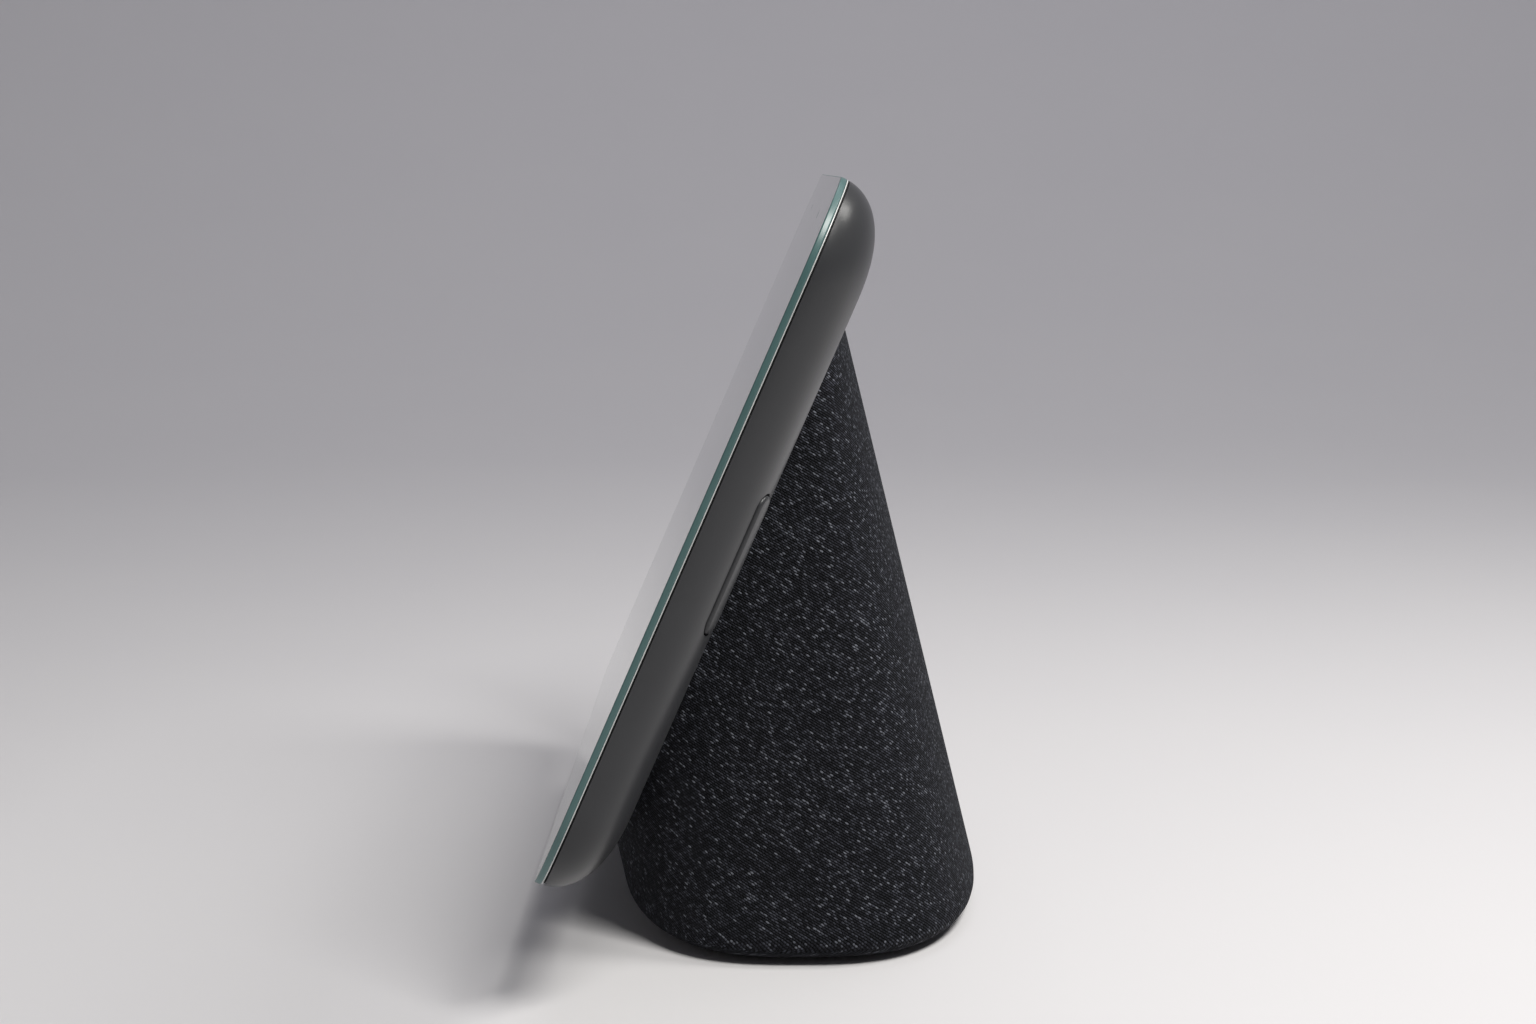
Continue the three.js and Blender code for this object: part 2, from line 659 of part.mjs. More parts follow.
function driverSuspension() {
  const surround = [
    [15.9, -4.0], [16.3, -3.0], [16.7, -2.6], [17.1, -3.0], [17.5, -3.9],
    [17.5, -3.4], [17.3, -2.5], [16.7, -2.1], [16.1, -2.5], [15.9, -3.5], [15.9, -4.0],
  ];
  return [
    piece('driver_surround', turned(surround), BLACK_RUBBER),
    piece('driver_spider', ring(7.1, 12.9, -11.9, -11.5), FLEX_AMBER),
    piece('driver_gasket', ring(18.9, 19.9, -2.75, -2.45), BLACK_RUBBER),
  ];
}

function driverScrews() {
  return driverScrewPlaces().map(([x, y], i) => {
    const mesh = piece(`driver_screw_${i + 1}`, screw(0.8, 1.4, -5.0, -3.85, -0.6), STEEL);
    mesh.position.set(x, y, 0);
    return mesh;
  });
}

// ---- Base: power inlet, power board and the cable up to the head ----

function powerInlet() {
  const collar = [
    [4.2, -5.6], [5.2, -5.6], [5.2, -1.1], [6.3, -1.1], [6.3, -0.1], [4.2, -0.1], [4.2, -5.6],
  ];
  const socket = cutFrom(box(8.6, 8.6, 5.9, 14.9), [post(3.2, -13.5, -5, 0, 0, 20)]);
  return [
    piece('inlet_collar', turned(collar, 24), BLACK_PLASTIC),
    piece('inlet_socket', socket, BLACK_PLASTIC),
    piece('inlet_pin', post(0.8, -13.4, -7.2, 0, 0, 12), STEEL),
  ];
}

function powerBoard() {
  const geometry = new THREE.BoxGeometry(30, 22, 1.2);
  geometry.translate(-25, 5, 10.0);
  return piece('power_board', geometry, BOARD_GREEN);
}

function harness() {
  const wall = (depth) => new THREE.Vector3(CABLE_HOLE_X, CABLE_HOLE_Y, -depth).applyMatrix4(head.matrixWorld);
  const route = new THREE.CatmullRomCurve3([
    new THREE.Vector3(CABLE_HOLE_X, 1, 11.2),
    new THREE.Vector3(CABLE_HOLE_X, 0.5, 20),
    new THREE.Vector3(CABLE_HOLE_X, -3, 32),
    wall(15),
    wall(11),
    wall(6.6),
  ]);
  const section = new THREE.Shape();
  section.absarc(0, 0, 1.7, 0, 2 * Math.PI, false);
  const options = { steps: 12, extrudePath: route, curveSegments: 4, bevelEnabled: false };
  return piece('head_cable', new THREE.ExtrudeGeometry(section, options), BLACK_RUBBER);
}

// ---- Assembly ----

head.add(coverGlass(), bezelPrint(), screenGasket(), ...screenStack(), displayFlex());
head.add(...mainElectronics(), ...browSensors(), ...antennas());
head.add(volumeControls(), muteControls(), rearShell(), ...neckScrews());

driver.add(baffle(), driverBasket(), ...driverMotor(), ...driverMovingParts(), ...driverSuspension());
driver.add(...driverScrews());

jack.add(...powerInlet());

const display = new THREE.Group();
display.add(head, driver, jack, fabricSleeve(), baseFrame(), ...baseBottom(), powerBoard(), harness());

export default display;
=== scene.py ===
import math

import bpy
import numpy as np
from mathutils import Matrix, Vector


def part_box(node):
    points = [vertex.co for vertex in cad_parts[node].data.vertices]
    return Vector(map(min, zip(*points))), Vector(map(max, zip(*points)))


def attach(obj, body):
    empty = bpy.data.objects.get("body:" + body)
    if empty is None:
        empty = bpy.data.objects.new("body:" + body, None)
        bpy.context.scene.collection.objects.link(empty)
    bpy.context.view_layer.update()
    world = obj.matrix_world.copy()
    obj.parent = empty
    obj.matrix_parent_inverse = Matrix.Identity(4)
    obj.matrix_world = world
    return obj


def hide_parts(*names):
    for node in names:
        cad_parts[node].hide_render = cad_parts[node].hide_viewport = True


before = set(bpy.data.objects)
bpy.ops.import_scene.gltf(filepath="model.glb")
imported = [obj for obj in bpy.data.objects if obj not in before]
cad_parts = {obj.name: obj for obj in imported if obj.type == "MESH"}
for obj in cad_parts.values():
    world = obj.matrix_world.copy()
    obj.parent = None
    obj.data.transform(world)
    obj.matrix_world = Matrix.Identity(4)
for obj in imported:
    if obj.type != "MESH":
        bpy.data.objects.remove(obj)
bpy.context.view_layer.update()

# A table-top smart display: a slim tilted screen head on a knit-covered speaker base.
# Everything is in metres. +X is to the right when facing the screen, +Y to the back, +Z up.
# Depths in the head are measured back from the front of the glass.

MM = 0.001
IN_PLACE = Matrix.Identity(4)

# ---- Head: sizes ----
HEAD_WIDTH = 177.4 * MM
HEAD_HEIGHT = 111.5 * MM
HEAD_CORNER = 15.5 * MM
HEAD_DEPTH = 9.2 * MM
HEAD_TILT = math.radians(23.55)
CORNER_STEPS = 24

GLASS_THICKNESS = 1.0 * MM
GLASS_ARRIS = 0.22 * MM  # rounding of the glass's two edges
PRINT_SIDE = 0.1 * MM  # how far inside the glass's outline the print stops
PRINT_DEPTHS = (1.17 * MM, 1.05 * MM)
WINDOW = (154.2 * MM, 86.0 * MM)
WINDOW_CORNER = 1.2 * MM
BROW = 49.25 * MM  # height of the microphones and the light sensor above the screen's middle
MIC_X = 35 * MM
MIC_HOLE_RADIUS = 0.75 * MM
PRINT_HOLE_RADIUS = 0.8 * MM
SENSOR_HOLE_RADIUS = 1.6 * MM
GASKET_DEPTHS = (1.4 * MM, 1.22 * MM)
GASKET_SIDES = (0.4 * MM, 2.6 * MM)

SHELL_FRONT = 1.45 * MM
SHELL_WALL = 1.8 * MM
SHELL_CORNER_STEPS = 20
SHELL_SIDE_STEPS = 14
EDGE_ROUNDING = 14.5 * MM
EDGE_POWER = 2.3  # 2 would be an ellipse, more is squarer
BACK_OPENINGS = (20 * MM, 5 * MM)  # depths between which the neck's holes are cut
NECK_SCREWS = ((-22, -15.75), (22, -15.75), (-18, 14.25), (18, 14.25))  # mm
NECK_HOLE_RADIUS = 1.45 * MM
CABLE_HOLE = (-27 * MM, -7.75 * MM)
CABLE_HOLE_RADIUS = 3.2 * MM

# ---- Volume key and microphone switch: sizes ----
ROCKER_SIDE = 7.2 * MM  # how far in from the outline the key's middle sits
KEY_HALF_LENGTH = 10.8 * MM
KEY_HALF_WIDTH = 2.0 * MM
KEY_GAP = 0.35 * MM
PLUNGER_Y = 7.5 * MM

MUTE_SIDE = 10.0 * MM
MUTE_TRAVEL = 3.0 * MM
KNOB_HALF_LENGTH = 3.8 * MM
KNOB_HALF_WIDTH = 1.4 * MM
KNOB_GAP = 0.3 * MM
GROOVE_PITCH = 0.9 * MM
SLOT_CUT = (-4 * MM, 3 * MM)
CROWN_FLAT = 0.15 * MM  # half width of the flat in the middle of a crowned top
HAIR = 0.01 * MM  # keeps the two arcs of a round end from sharing a point

# ---- Base: sizes ----
BASE_HALF_DEPTH = 29.9 * MM
BASE_POWER = 2.8
SIDE_SLOPE = 0.3
REAR_SLOPE = 0.245
FRONT_LEAN = 0.25
FILLET_HEIGHT = 3.5 * MM
FILLET_INSET = 4.5 * MM
COLUMN_FRONT_DEPTH = 9.5 * MM
SKY = 0.1  # a height that is above the base everywhere

SLEEVE_THICKNESS = 1.1 * MM
SLEEVE_COLUMNS = 340
SLEEVE_ROWS = 96
ROW_CROWDING = 1.15  # above 1 puts more rows near the bottom, where the cloth bends most
HEM = ((0.5, 0.0), (0.27, 0.05), (0.1, 0.18), (0.0, 0.4), (0.0, 0.8))  # drop and inset, mm

PLATE_INSET = 1.4 * MM
PLATE_LEVELS = (0.8, 0.83, 0.95, 1.2, 1.6, 2.1, 2.8, 3.5, 4.0)  # mm, closer where it curves
FOOT_GAP = 0.3 * MM
FOOT_RECESS_TOP = 1.6  # mm
FOOT_PROFILE = (  # inset and height, mm
    (0.3, 0.0), (0.12, 0.05), (0.0, 0.3), (0.0, 1.25), (0.15, 1.5), (0.3, 1.55),
)
SCREW_HOLE_RADIUS = 1.1 * MM
SCREW_HEAD_RADIUS = 2.2 * MM
SCREW_HEAD_TOP = 2.9 * MM

JACK_Z = 17 * MM
JACK_HOLE_RADIUS = 6.6 * MM
JACK_PROFILE = (  # radius and height, mm
    (4.2, -5.6), (5.2, -5.6), (5.2, -1.1), (6.3, -1.1), (6.3, -0.45), (6.2, -0.25),
    (5.95, -0.13), (5.6, -0.1), (4.75, -0.1), (4.5, -0.16), (4.3, -0.3), (4.2, -0.55),
)

# ---- Studio: sizes ----
FLOOR_FLAT = 0.62
SWEEP_RADIUS = 1.2
SWEEP_TOP = 1.9
SWEEP_STEPS = 24

CAMERA_PLACE = (434.3 * MM, 0.9 * MM, 121.6 * MM)
CAMERA_YAW = math.radians(-0.20)
CAMERA_PITCH = math.radians(7.75)
CAMERA_LENS = 59.23


# ---- Placing ----

def turned_about(axis, angle):
    return Matrix.Rotation(angle, 4, axis)


def head_frame():
    """Origin in the middle of the glass's front; x across, y up the slope, z out of the glass."""
    low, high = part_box("cover_glass")
    outwards = Vector((0, -math.cos(HEAD_TILT), math.sin(HEAD_TILT)))
    middle = (low + high) / 2 + outwards * GLASS_THICKNESS / 2
    return Matrix.Translation(middle) @ turned_about("X", math.pi / 2 - HEAD_TILT)


def edge_point(side):
    """Depth of the housing's rounded edge at that far in from the outline, and its turn there."""
    across = (EDGE_ROUNDING - side) / EDGE_ROUNDING
    down = (1 - across**EDGE_POWER) ** (1 / EDGE_POWER)
    sideways = across ** (EDGE_POWER - 1) / EDGE_ROUNDING
    backwards = down ** (EDGE_POWER - 1) / HEAD_DEPTH
    return HEAD_DEPTH * down, math.atan2(sideways, backwards)


def rocker_frame():
    """On the right-hand rounded edge: y along the key, z out of the housing."""
    depth, turn = edge_point(ROCKER_SIDE)
    place = Matrix.Translation((HEAD_WIDTH / 2 - ROCKER_SIDE, 0, -depth))
    return HEAD @ place @ turned_about("Y", math.pi - turn)


def mute_frame():
    """On the top rounded edge: x along the slide, z out of the housing."""
    depth, turn = edge_point(MUTE_SIDE)
    place = Matrix.Translation((0, HEAD_HEIGHT / 2 - MUTE_SIDE, -depth))
    return HEAD @ place @ turned_about("X", turn - math.pi)


def jack_frame():
    """Low on the back of the base: z out of the sloping cloth."""
    back = BASE_CENTRE_Y + BASE_HALF_DEPTH - REAR_SLOPE * (JACK_Z - FILLET_TOP)
    lean = math.atan(REAR_SLOPE) - math.pi / 2
    return Matrix.Translation((0, back, JACK_Z)) @ turned_about("X", lean)


sleeve_low, sleeve_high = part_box("fabric_sleeve")
BASE_HALF_WIDTH = (sleeve_high.x - sleeve_low.x) / 2
BASE_CENTRE_Y = sleeve_high.y - BASE_HALF_DEPTH
BASE_BOTTOM = sleeve_low.z
FILLET_TOP = BASE_BOTTOM + FILLET_HEIGHT

HEAD = head_frame()
ROCKER = rocker_frame()
MUTE = mute_frame()
JACK = jack_frame()


# ---- Outlines ----

def circle(radius, sides, x=0.0, y=0.0):
    turns = [2 * math.pi * k / sides for k in range(sides)]
    return [(x + radius * math.cos(turn), y + radius * math.sin(turn)) for turn in turns]


def rounded_rect(half_width, half_height, radius, steps, x=0.0, y=0.0):
    """Anticlockwise from the right-hand side, with "steps" steps round each corner."""
    outline = []
    for across, up, start in ((1, 1, 0), (-1, 1, 90), (-1, -1, 180), (1, -1, 270)):
        middle_x = x + across * (half_width - radius)
        middle_y = y + up * (half_height - radius)
        for i in range(steps + 1):
            angle = math.radians(start + 90 * i / steps)
            outline.append(
                (middle_x + radius * math.cos(angle), middle_y + radius * math.sin(angle))
            )
    return outline


def with_side_points(outline, steps, side_steps):
    """A rounded rectangle's outline with each straight side split into equal lengths."""
    split = []
    for k, here in enumerate(outline):
        split.append(here)
        ends_corner = (k + 1) % (steps + 1) == 0
        if ends_corner:
            ahead = outline[(k + 1) % len(outline)]
            for i in range(1, side_steps):
                share = i / side_steps
                split.append(tuple(a + (b - a) * share for a, b in zip(here, ahead)))
    return split


def at_height(outline, z):
    return [(x, y, z) for x, y in outline]


# ---- Making meshes ----

def new_piece(name, points, faces):
    mesh = bpy.data.meshes.new(name)
    mesh.from_pydata([tuple(p) for p in points], [], faces)
    mesh.validate()
    piece = bpy.data.objects.new(name, mesh)
    bpy.context.scene.collection.objects.link(piece)
    return piece


def lofted(name, rings, place=IN_PLACE, closed_round=False, top=True):
    """A skin over rings of equal point count; flat ends, or joined end to start for a tube section."""
    count = len(rings[0])
    points = [place @ Vector(p) for ring in rings for p in ring]
    spans = len(rings) if closed_round else len(rings) - 1
    faces = []
    for level in range(spans):
        here = level * count
        above = (level + 1) % len(rings) * count
        for k in range(count):
            on = (k + 1) % count
            faces.append((here + k, here + on, above + on, above + k))
    if not closed_round:
        faces.append(tuple(reversed(range(count))))
        if top:
            faces.append(tuple(range(spans * count, (spans + 1) * count)))
    return new_piece(name, points, faces)


def prism(name, outline, low, high, place=IN_PLACE):
    return lofted(name, [at_height(outline, low), at_height(outline, high)], place)


def round_post(radius, low, high, place, x=0.0, y=0.0, sides=48):
    return prism("post", circle(radius, sides, x, y), low, high, place)


def rounded_slab(name, outline_at, low, high, edge, place, steps=4):
    """A slab whose outline is outline_at(inset), with both its edges rounded."""
    quarter = [math.pi / 2 * i / steps for i in range(steps + 1)]
    levels = [(edge * (1 - math.sin(a)), low + edge * (1 - math.cos(a))) for a in quarter]
    levels += [(inset, low + high - z) for inset, z in reversed(levels)]
    return lofted(name, [at_height(outline_at(inset), z) for inset, z in levels], place)


def pill(name, half_length, half_width, levels, place, lengthways=True):
    """A round-ended bar from (inset, height) levels, long in y, or long in x."""
    rings = []
    for inset, height in levels:
        width, length = half_width - inset, half_length - inset
        sizes = (width, length) if lengthways else (length, width)
        rings.append(at_height(rounded_rect(*sizes, width - HAIR, 12), height))
    return lofted(name, rings, place)


def crowned_levels(low, high, edge, crown, half_width, edge_steps=6, crown_steps=4):
    """Straight sides, a rounded edge, then a shallow crown up to the middle."""
    levels = [(0.0, low)]
    for i in range(edge_steps + 1):
        angle = math.pi / 2 * i / edge_steps
        levels.append((edge * (1 - math.cos(angle)), high - edge * (1 - math.sin(angle))))
    for i in range(1, crown_steps + 1):
        share = i / crown_steps
        inset = edge + (half_width - edge - CROWN_FLAT) * share
        levels.append((inset, high + crown * (1 - (1 - share) ** 2)))
    return levels


def combine(piece, tools, operation):
    """Adds the tools to the piece or takes them out of it; the tools are used up."""
    for tool in tools:
        step = piece.modifiers.new("combine", "BOOLEAN")
        step.operation = operation
        step.solver = "EXACT"
        step.object = tool
    settled = piece.evaluated_get(bpy.context.evaluated_depsgraph_get())
    mesh = bpy.data.meshes.new_from_object(settled)
    piece.modifiers.clear()
    piece.data = mesh
    for tool in tools:
        bpy.data.objects.remove(tool)


def smoothed(piece, degrees=32):
    """Round surfaces shade smooth, folds sharper than this stay crisp and flats stay flat."""
    piece.data.shade_smooth()
    piece.data.set_sharp_from_angle(angle=math.radians(degrees))
    step = piece.modifiers.new("flat_faces", "WEIGHTED_NORMAL")
    step.keep_sharp = True
    return piece


# ---- Colour and shader nodes ----

def linear(code):
    """An sRGB hex colour as linear RGBA."""
    channels = [int(code[i : i + 2], 16) / 255 for i in (1, 3, 5)]
    return (
        *(c / 12.92 if c <= 0.04045 else ((c + 0.055) / 1.055) ** 2.4 for c in channels),
        1.0,
    )


def add(tree, kind, inputs=None, **settings):
    """Adds one node. Each input is given a value of its own or the output that feeds it."""
    node = tree.nodes.new("ShaderNode" + kind)
    for setting, value in settings.items():
        setattr(node, setting, value)
    for socket, given in (inputs or {}).items():
        if isinstance(given, bpy.types.NodeSocket):
            tree.links.new(given, node.inputs[socket])
        else:
            node.inputs[socket].default_value = given
    shown = [output for output in node.outputs if output.enabled]
    return shown[0] if len(shown) == 1 else node.outputs


def material(name, feeds):
    """A new material; feeds(tree) gives the inputs of its standard surface."""
    made = bpy.data.materials.new(name)
    made.use_nodes = True
    tree = made.node_tree
    tree.nodes.clear()
    surface = add(tree, "BsdfPrincipled", feeds(tree))
    add(tree, "OutputMaterial", {"Surface": surface})
    return made


# ---- Families of finish ----

def grained(name, dark, light, rough, cloud_mm, grain_mm, relief_mm, **surface):
    """A surface with soft clouds between two close tones and a fine grain that stands up from it."""

    def feeds(tree):
        place = add(tree, "TexCoord")["Object"]
        clouds = add(
            tree, "TexNoise", {"Vector": place, "Scale": 1 / (cloud_mm * MM), "Detail": 4.0}
        )["Fac"]
        grain = add(
            tree, "TexNoise", {"Vector": place, "Scale": 1 / (grain_mm * MM), "Detail": 2.0}
        )["Fac"]
        tone = add(
            tree, "MixRGB", {"Fac": clouds, "Color1": linear(dark), "Color2": linear(light)}
        )
        dullness = add(
            tree, "MapRange", {"Value": grain, "To Min": rough[0], "To Max": rough[1]}
        )
        relief = add(
            tree, "Bump", {"Height": grain, "Strength": 0.6, "Distance": relief_mm * MM}
        )
        return {"Base Color": tone, "Roughness": dullness, "Normal": relief, **surface}

    return material(name, feeds)


def metal(name, dark, light, rough, line_mm, relief_mm):
    """A metal whose rolled or turned lines run along X, with a little cloudiness in its shine."""

    def feeds(tree):
        place = add(tree, "TexCoord")["Object"]
        along = add(tree, "Mapping", {"Vector": place, "Scale": (0.04, 1.0, 1.0)})
        lines = add(
            tree, "TexNoise", {"Vector": along, "Scale": 1 / (line_mm * MM), "Detail": 3.0}
        )["Fac"]
        clouds = add(
            tree, "TexNoise", {"Vector": place, "Scale": 1 / (5 * MM), "Detail": 3.0}
        )["Fac"]
        tone = add(
            tree, "MixRGB", {"Fac": clouds, "Color1": linear(dark), "Color2": linear(light)}
        )
        dullness = add(
            tree, "MapRange", {"Value": lines, "To Min": rough[0], "To Max": rough[1]}
        )
        relief = add(
            tree, "Bump", {"Height": lines, "Strength": 0.5, "Distance": relief_mm * MM}
        )
        return {"Base Color": tone, "Roughness": dullness, "Normal": relief, "Metallic": 1.0}

    return material(name, feeds)


# ---- Finishes ----
# Two tones, least and most roughness, then clouds, grain and relief in mm.

# Satin moulded ABS: an even dark grey that shows broad soft highlights over a very fine
# spark-eroded grain.
HOUSING = grained(
    "satin_moulded_abs", "#343537", "#393a3c", (0.28, 0.34), 9, 0.3, 0.012,
    **{"Specular IOR Level": 0.3},
)
# Matt moulded ABS of the hidden frames: blacker, duller and with a coarser grain.
FRAME_BLACK = grained("matt_moulded_abs", "#17181a", "#1d1e20", (0.5, 0.62), 6, 0.5, 0.03)
# Compression-moulded silicone: soft, dull and faintly dusty.
SILICONE = grained("moulded_silicone", "#4d4e51", "#585a5d", (0.74, 0.86), 7, 0.4, 0.03)
# Die-cut black foam rubber: almost no shine, open pores.
RUBBER = grained("die_cut_rubber", "#0c0c0d", "#151517", (0.8, 0.92), 3, 0.3, 0.04)
# Screen-printed enamel on the back of the glass: flat warm white.
PRINT = grained("white_screen_print", "#d3d6d4", "#dddfdd", (0.32, 0.38), 12, 0.2, 0.003)
# Polariser film over a dark panel: near black, slightly blue, smooth.
PANEL = grained("dark_lcd_film", "#08090c", "#0d0e12", (0.16, 0.22), 20, 0.25, 0.002)
# Opal diffuser sheet of the light guide: milky, soft.
DIFFUSER = grained("opal_diffuser", "#d3d6d8", "#e0e2e3", (0.55, 0.65), 10, 0.3, 0.01)
# Polyimide ribbon: translucent-looking amber with a faint gloss.
POLYIMIDE = grained("polyimide_ribbon", "#9c6526", "#b67a34", (0.3, 0.42), 4, 0.4, 0.01)
# Resin-dipped woven cloth of the driver's spider: warm amber, dry.
SPIDER_CLOTH = grained("resin_dipped_cloth", "#94662c", "#b5843f", (0.75, 0.9), 2, 0.35, 0.06)
# Pressed paper pulp: charcoal, fibrous, quite dull.
PAPER = grained("pressed_paper_pulp", "#1c1c1d", "#2c2c2d", (0.85, 0.95), 1.2, 0.25, 0.06)
# Sintered ferrite: dark grey ceramic with a fine pitted skin.
FERRITE = grained("sintered_ferrite", "#28282a", "#37373a", (0.6, 0.75), 2, 0.3, 0.04)
# Dyed acetal of the switch mark: saturated orange, slightly waxy.
ORANGE = grained("orange_acetal", "#e2641f", "#ec7630", (0.42, 0.5), 3, 0.25, 0.01)
# Uncoated backdrop paper: pale, dead matt, faintly uneven over a hand's width.
BACKDROP = grained("matt_backdrop_paper", "#d9d8da", "#dcdbdc", (0.85, 0.92), 120, 0.8, 0.02)

# Two tones, least and most roughness, then lines and relief in mm.
# Zinc-plated pressed steel: bright grey with fine rolling lines.
STEEL = metal("zinc_plated_steel", "#9a9c9f", "#b4b6b8", (0.28, 0.42), 0.25, 0.004)
# Rolled aluminium foil plate: paler and softer than the steel.
ALUMINIUM = metal("rolled_aluminium", "#bfc1c3", "#d0d2d3", (0.34, 0.46), 0.3, 0.004)
# Enamelled copper wire, wound tight: reddish with a fine ribbing.
COPPER = metal("enamelled_copper_wire", "#a9643a", "#c4804f", (0.28, 0.4), 0.2, 0.02)


def circuit_board_feeds(tree):
    """Tracks about half a millimetre wide show paler through the solder mask."""
    place = add(tree, "TexCoord")["Object"]
    tracks = add(
        tree, "TexBrick",
        {
            "Vector": place, "Scale": 1 / (4 * MM),
            "Brick Width": 0.9, "Row Height": 0.4, "Mortar Size": 0.06, "Mortar Smooth": 0.1,
            "Color1": linear("#174a30"), "Color2": linear("#1b5537"), "Mortar": linear("#2f7a4e"),
        },
    )
    clouds = add(tree, "TexNoise", {"Vector": place, "Scale": 1 / (6 * MM), "Detail": 2.0})["Fac"]
    relief = add(tree, "Bump", {"Height": tracks["Fac"], "Strength": 0.4, "Distance": 0.03 * MM})
    return {
        "Base Color": tracks["Color"],
        "Roughness": add(tree, "MapRange", {"Value": clouds, "To Min": 0.34, "To Max": 0.46}),
        "Normal": relief,
    }


# Solder-masked glass-fibre board: green, semi-gloss, tracks standing slightly proud.
BOARD = material("solder_masked_board", circuit_board_feeds)


def clean_glass_feeds(tree):
    """Faint wiping marks change the shine a little."""
    place = add(tree, "TexCoord")["Object"]
    wiped = add(tree, "TexNoise", {"Vector": place, "Scale": 1 / (30 * MM), "Detail": 3.0})["Fac"]
    return {
        "Base Color": linear("#f4faf8"),
        "Transmission Weight": 1.0,
        "IOR": 1.52,
        "Roughness": add(tree, "MapRange", {"Value": wiped, "To Min": 0.015, "To Max": 0.05}),
    }


# Polished float glass: clear from the front, a mirror at a low angle.
GLASS_FACE = material("polished_float_glass", clean_glass_feeds)


def glass_edge_feeds(tree):
    place = add(tree, "TexCoord")["Object"]
    clouds = add(tree, "TexNoise", {"Vector": place, "Scale": 1 / (14 * MM), "Detail": 3.0})["Fac"]
    tones = {"Color1": linear("#42605f"), "Color2": linear("#4f6f6e")}
    return {
        "Base Color": add(tree, "MixRGB", {"Fac": clouds, **tones}),
        "IOR": 1.52,
        "Roughness": add(tree, "MapRange", {"Value": clouds, "To Min": 0.3, "To Max": 0.4}),
    }


# Ground and polished glass edge: light gathered in the sheet leaves here as teal.
GLASS_EDGE = material("ground_glass_edge", glass_edge_feeds)

# ---- Knit ----
# Real stitches are about a third of a millimetre; these are a little coarser, so that they show.

RIB_PITCH = 0.44 * MM
STITCH_PITCH = 0.54 * MM
RIB_ANGLE = math.radians(38)  # ribs fall to the right
YARN_WOBBLE = 0.5  # how unevenly the yarn lies, in stitches
WOBBLE_LENGTH = 1.1 * MM
RIB_FALL = 3.7  # how fast a stitch falls away across the rib
STITCH_FALL = 1.9  # and along it
# Painted shade: how far the yarn's colour darkens from a stitch's middle towards the grooves.
GROOVE_PAINTED_SHADE = {"From Min": 0.25, "From Max": 0.85, "To Min": 0.02, "To Max": 1.08}
YARN_RELIEF = 0.2 * MM
YARN_TONES = ((0.0, "#1a1b1f"), (0.55, "#25262c"), (0.9, "#3c3e46"), (1.0, "#696c74"))


def stitch_grid(tree):
    """Rows of stitches on the diagonal, each row half a stitch on from the last.
    Gives places in stitches, across the ribs and along them, and the number of the row."""
    laid = add(tree, "UVMap", uv_map="cloth")
    uneven = add(tree, "TexNoise", {"Vector": laid, "Scale": 1 / WOBBLE_LENGTH, "Detail": 2.0})
    offset = add(tree, "Math", {0: uneven["Fac"], 1: 0.5}, operation="SUBTRACT")
    wobble = add(tree, "Math", {0: offset, 1: YARN_WOBBLE}, operation="MULTIPLY")
    turned = add(
        tree, "VectorRotate", {"Vector": laid, "Angle": RIB_ANGLE}, rotation_type="Z_AXIS"
    )
    along, over, _ = add(tree, "SeparateXYZ", {0: turned})
    ribs = add(tree, "Math", {0: over, 1: RIB_PITCH}, operation="DIVIDE")
    rib = add(tree, "Math", {0: ribs, 1: wobble}, operation="ADD")
    row = add(tree, "Math", {0: rib}, operation="FLOOR")
    stitches = add(tree, "Math", {0: along, 1: STITCH_PITCH}, operation="DIVIDE")
    half_on = add(tree, "Math", {0: row, 1: 0.5}, operation="MULTIPLY")
    stepped = add(tree, "Math", {0: stitches, 1: half_on}, operation="ADD")
    stitch = add(tree, "Math", {0: stepped, 1: wobble}, operation="ADD")
    return rib, stitch, row


def fall_from_middle(tree, place, steepness):
    """How far the yarn has dropped at that place in its stitch: nothing in the middle."""
    share = add(tree, "Math", {0: place}, operation="FRACT")
    off = add(tree, "Math", {0: share, 1: 0.5}, operation="SUBTRACT")
    squared = add(tree, "Math", {0: off, 1: off}, operation="MULTIPLY")
    return add(tree, "Math", {0: squared, 1: steepness}, operation="MULTIPLY")


def yarn_colour(tree, tone, height):
    """The stitch's own tone, with painted shade that darkens it towards the grooves round it."""
    ramp = add(tree, "ValToRGB", {"Fac": tone})["Color"]
    stops = ramp.node.color_ramp.elements
    stops[0].color = linear(YARN_TONES[0][1])
    stops[1].color = linear(YARN_TONES[-1][1])
    for position, code in YARN_TONES[1:-1]:
        stops.new(position).color = linear(code)
    # Painted shade: darker where the yarn lies lower, in the grooves.
    groove = add(tree, "MapRange", {"Value": height, **GROOVE_PAINTED_SHADE})
    colours = {"Fac": 1.0, "Color1": ramp, "Color2": groove}
    return add(tree, "MixRGB", colours, blend_type="MULTIPLY")


def knit_feeds(tree):
    """Each stitch takes its own tone, as melange yarn does."""
    rib, stitch, row = stitch_grid(tree)
    across_fall = fall_from_middle(tree, rib, RIB_FALL)
    along_fall = fall_from_middle(tree, stitch, STITCH_FALL)
    fall = add(tree, "Math", {0: across_fall, 1: along_fall}, operation="ADD")
    height = add(tree, "Math", {0: 1.0, 1: fall}, operation="SUBTRACT")
    stitch_number = add(tree, "Math", {0: stitch}, operation="FLOOR")
    which = add(tree, "CombineXYZ", {0: stitch_number, 1: row})
    tone = add(tree, "TexWhiteNoise", {"Vector": which}, noise_dimensions="3D")["Value"]
    return {
        # The base colour holds painted shade in the grooves between the stitches.
        "Base Color": yarn_colour(tree, tone, height),
        "Roughness": add(tree, "MapRange", {"Value": tone, "To Min": 0.95, "To Max": 0.75}),
        "Normal": add(tree, "Bump", {"Height": height, "Strength": 1.0, "Distance": YARN_RELIEF}),
        "Sheen Weight": 0.05,
        "Sheen Roughness": 0.4,
        "Sheen Tint": linear("#b9c0cc"),
        "Specular IOR Level": 0.12,
    }


